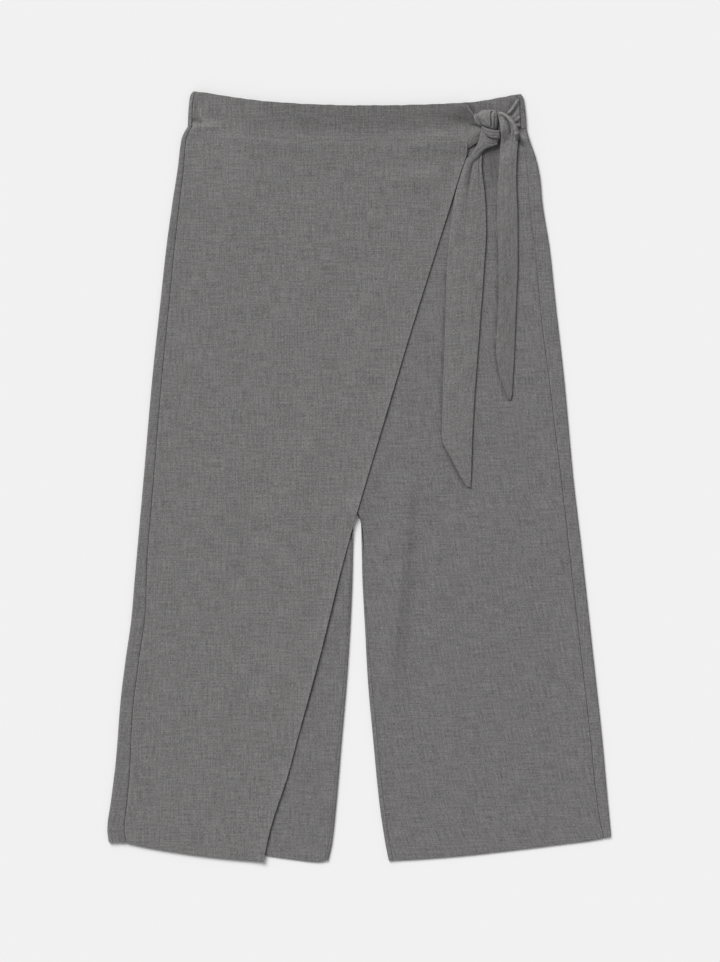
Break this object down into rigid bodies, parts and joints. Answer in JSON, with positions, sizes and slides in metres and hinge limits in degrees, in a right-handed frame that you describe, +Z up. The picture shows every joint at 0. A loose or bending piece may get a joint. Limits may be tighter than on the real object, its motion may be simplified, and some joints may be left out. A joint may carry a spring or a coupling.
{
  "type": "wrap pants",
  "caption": "Wide-leg cropped wrap pants laid flat, with an overlapping front panel tied in a knot at the side of the waist.",
  "frame": {"origin": "middle of the outline's box, on the surface that the pants lie on", "axes": "+X to the viewer's right as the pants are laid front up, +Y from the hems towards the waist, +Z up from the surface"},
  "size_m": [0.6042, 0.9242, 0.0214],
  "materials": {
    "suiting": "matte grey melange weave"
  },
  "bodies": {
    "root": {"back_left": "suiting", "back_right": "suiting", "front_left": "suiting", "front_right": "suiting", "waistband_back": "suiting", "waistband_front": "suiting", "wrap_panel": "suiting", "wrap_tie": "suiting", "side_tie": "suiting", "knot": "suiting", "tail_long": "suiting", "tail_short": "suiting"}
  },
  "joints": []
}
